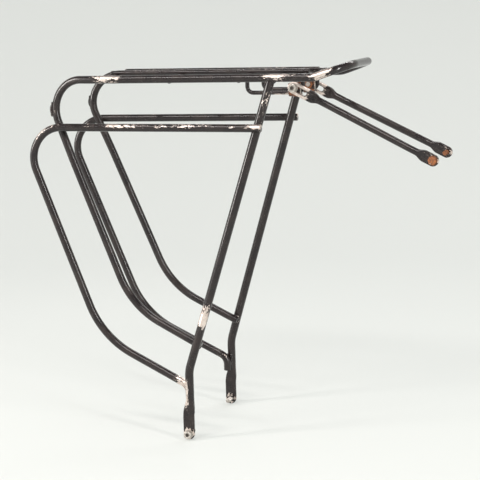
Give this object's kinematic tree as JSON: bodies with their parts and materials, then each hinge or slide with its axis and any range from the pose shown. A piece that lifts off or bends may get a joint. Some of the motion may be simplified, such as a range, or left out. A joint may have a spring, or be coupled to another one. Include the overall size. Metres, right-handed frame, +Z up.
{
  "type": "bicycle rear rack",
  "caption": "Tubular touring rack for a bicycle's rear wheel, with a flat load deck, low pannier rails, looped side stays and adjustable front stays.",
  "frame": {"origin": "midway between the two foot bolts, on the axis of the bicycle's dropout eyelets", "axes": "+X forward on the bicycle, +Y to its left, +Z up; the rack is symmetric about the XZ plane"},
  "size_m": [0.4518, 0.1644, 0.4075],
  "materials": {
    "black_paint": "gloss black paint over aluminium rod, scuffed through to bare metal where luggage rubs",
    "clip_steel": "dark painted steel strip with brown rust at its edges",
    "bright_steel": "dull zinc plated steel",
    "rusty_steel": "zinc plated steel, largely rusted orange brown"
  },
  "bodies": {
    "rack": {"deck_hoop": "black_paint", "foot_bolt_left": "bright_steel", "foot_bolt_right": "bright_steel", "foot_washer_left": "bright_steel", "foot_washer_right": "bright_steel", "front_cross_bar": "black_paint", "inner_deck_rod_left": "black_paint", "inner_deck_rod_right": "black_paint", "loop_cross_bar": "black_paint", "main_leg_left": "black_paint", "main_leg_right": "black_paint", "middle_cross_bar": "black_paint", "outer_stay_left": "black_paint", "outer_stay_right": "black_paint", "pannier_rail_left": "black_paint", "pannier_rail_right": "black_paint", "rear_cross_bar": "black_paint", "rear_stay_left": "black_paint", "rear_stay_right": "black_paint", "stay_loop_left": "black_paint", "stay_loop_right": "black_paint", "strap_hook_left": "black_paint", "strap_hook_right": "black_paint"},
    "clip_right": {"stay_clip_right": "clip_steel", "clip_bolt_right": "bright_steel", "clip_nut_right": "rusty_steel"},
    "washer_right": {"clip_washer_right": "bright_steel"},
    "stay_right": {"front_stay_right": "black_paint", "frame_bolt_right": "rusty_steel", "frame_washer_right": "rusty_steel"},
    "clip_left": {"stay_clip_left": "clip_steel", "clip_bolt_left": "bright_steel", "clip_nut_left": "rusty_steel"},
    "washer_left": {"clip_washer_left": "bright_steel"},
    "stay_left": {"front_stay_left": "black_paint", "frame_bolt_left": "rusty_steel", "frame_washer_left": "rusty_steel"}
  },
  "joints": [
    {"name": "clip_slide_right", "type": "slide", "parent": "rack", "child": "clip_right", "axis": [1, 0, 0], "range_m": [-0.029, 0.0025]},
    {"name": "stay_swing_right", "type": "hinge", "parent": "clip_right", "child": "washer_right", "pos_m": [0.1155, -0.0363, 0.37315], "axis": [0, 1, 0], "range_deg": [-12, 60]},
    {"name": "stay_reach_right", "type": "slide", "parent": "washer_right", "child": "stay_right", "axis": [0.8918, 0, -0.4524], "range_m": [-0.0128, 0]},
    {"name": "clip_slide_left", "type": "slide", "parent": "rack", "child": "clip_left", "axis": [1, 0, 0], "range_m": [-0.029, 0.0025]},
    {"name": "stay_swing_left", "type": "hinge", "parent": "clip_left", "child": "washer_left", "pos_m": [0.1155, 0.0363, 0.37315], "axis": [0, 1, 0], "range_deg": [-12, 60]},
    {"name": "stay_reach_left", "type": "slide", "parent": "washer_left", "child": "stay_left", "axis": [0.8918, 0, -0.4524], "range_m": [-0.0128, 0]}
  ]
}
